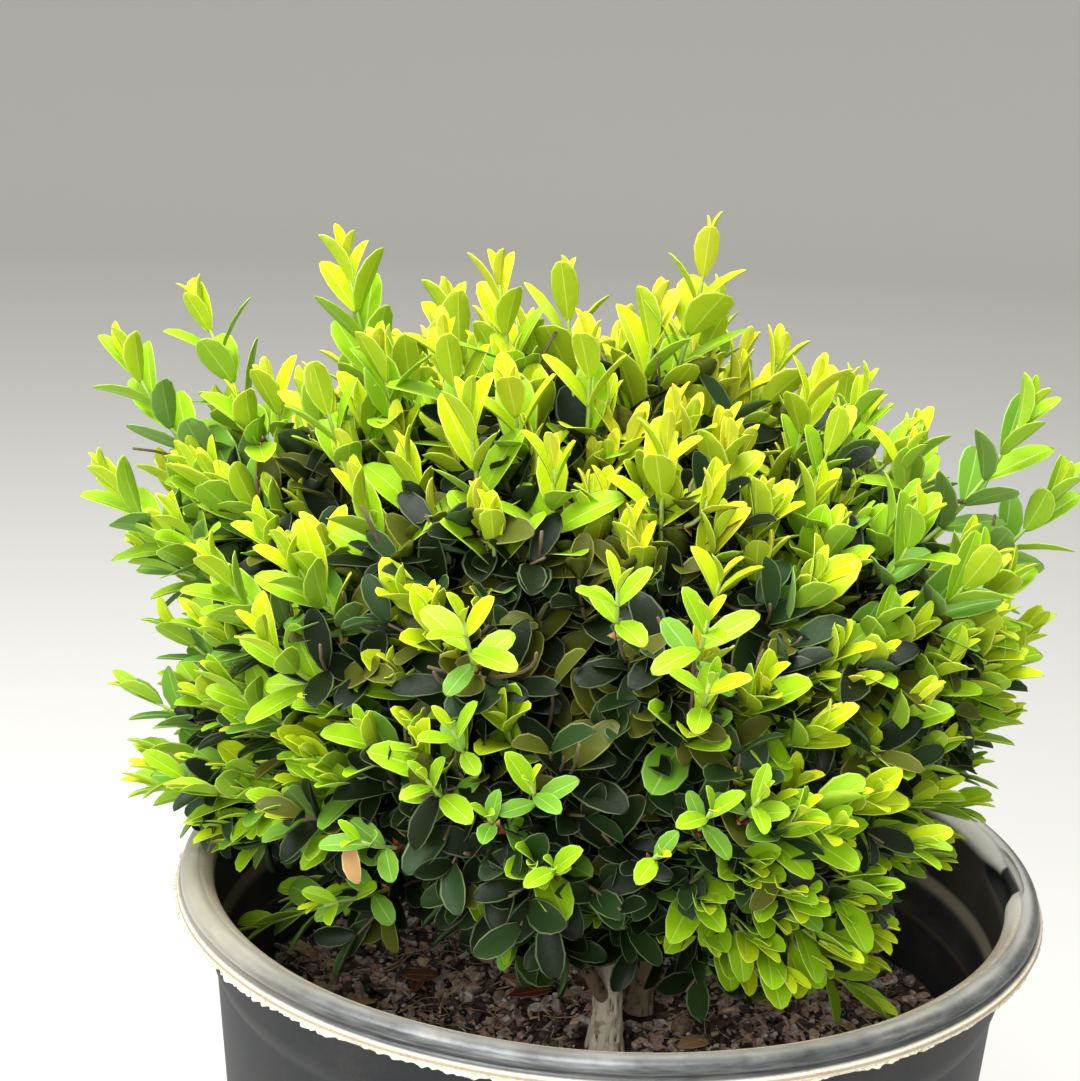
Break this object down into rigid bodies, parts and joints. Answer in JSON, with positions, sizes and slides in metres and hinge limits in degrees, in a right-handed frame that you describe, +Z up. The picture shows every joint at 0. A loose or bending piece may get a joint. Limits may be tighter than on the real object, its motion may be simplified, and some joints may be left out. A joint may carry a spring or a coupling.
{
  "type": "potted boxwood shrub",
  "caption": "A loose, mounded boxwood shrub with small glossy leaves, growing from bark mulch in a round black plastic nursery pot.",
  "frame": {"origin": "centre of the pot's flat underside, on the floor it stands on", "axes": "+Z up; -Y is the front seen in the picture; +X is the picture's right"},
  "size_m": [0.3145, 0.2899, 0.4473],
  "materials": {
    "pot": "satin",
    "potting_mix": "matte",
    "bark": "matte",
    "foliage": "satin"
  },
  "bodies": {
    "root": {"bough_crown_top": "bark", "bough_low_back_left": "bark", "bough_low_back_right": "bark", "bough_low_front": "bark", "bough_low_left": "bark", "bough_low_right": "bark", "bough_middle_back_left": "bark", "bough_middle_back_right": "bark", "bough_middle_front": "bark", "bough_middle_front_right": "bark", "bough_middle_left": "bark", "bough_middle_right": "bark", "bough_upper_back_left": "bark", "bough_upper_back_right": "bark", "bough_upper_front_left": "bark", "bough_upper_front_right": "bark", "bough_upper_left": "bark", "bough_upper_right": "bark", "foliage_crown_top": "foliage", "foliage_low_back_left": "foliage", "foliage_low_back_right": "foliage", "foliage_low_front": "foliage", "foliage_low_left": "foliage", "foliage_low_right": "foliage", "foliage_middle_back_left": "foliage", "foliage_middle_back_right": "foliage", "foliage_middle_front": "foliage", "foliage_middle_front_right": "foliage", "foliage_middle_left": "foliage", "foliage_middle_right": "foliage", "foliage_upper_back_left": "foliage", "foliage_upper_back_right": "foliage", "foliage_upper_front_left": "foliage", "foliage_upper_front_right": "foliage", "foliage_upper_left": "foliage", "foliage_upper_right": "foliage", "pot": "pot", "potting_mix": "potting_mix", "stem_back": "bark", "stem_front": "bark"}
  },
  "joints": []
}
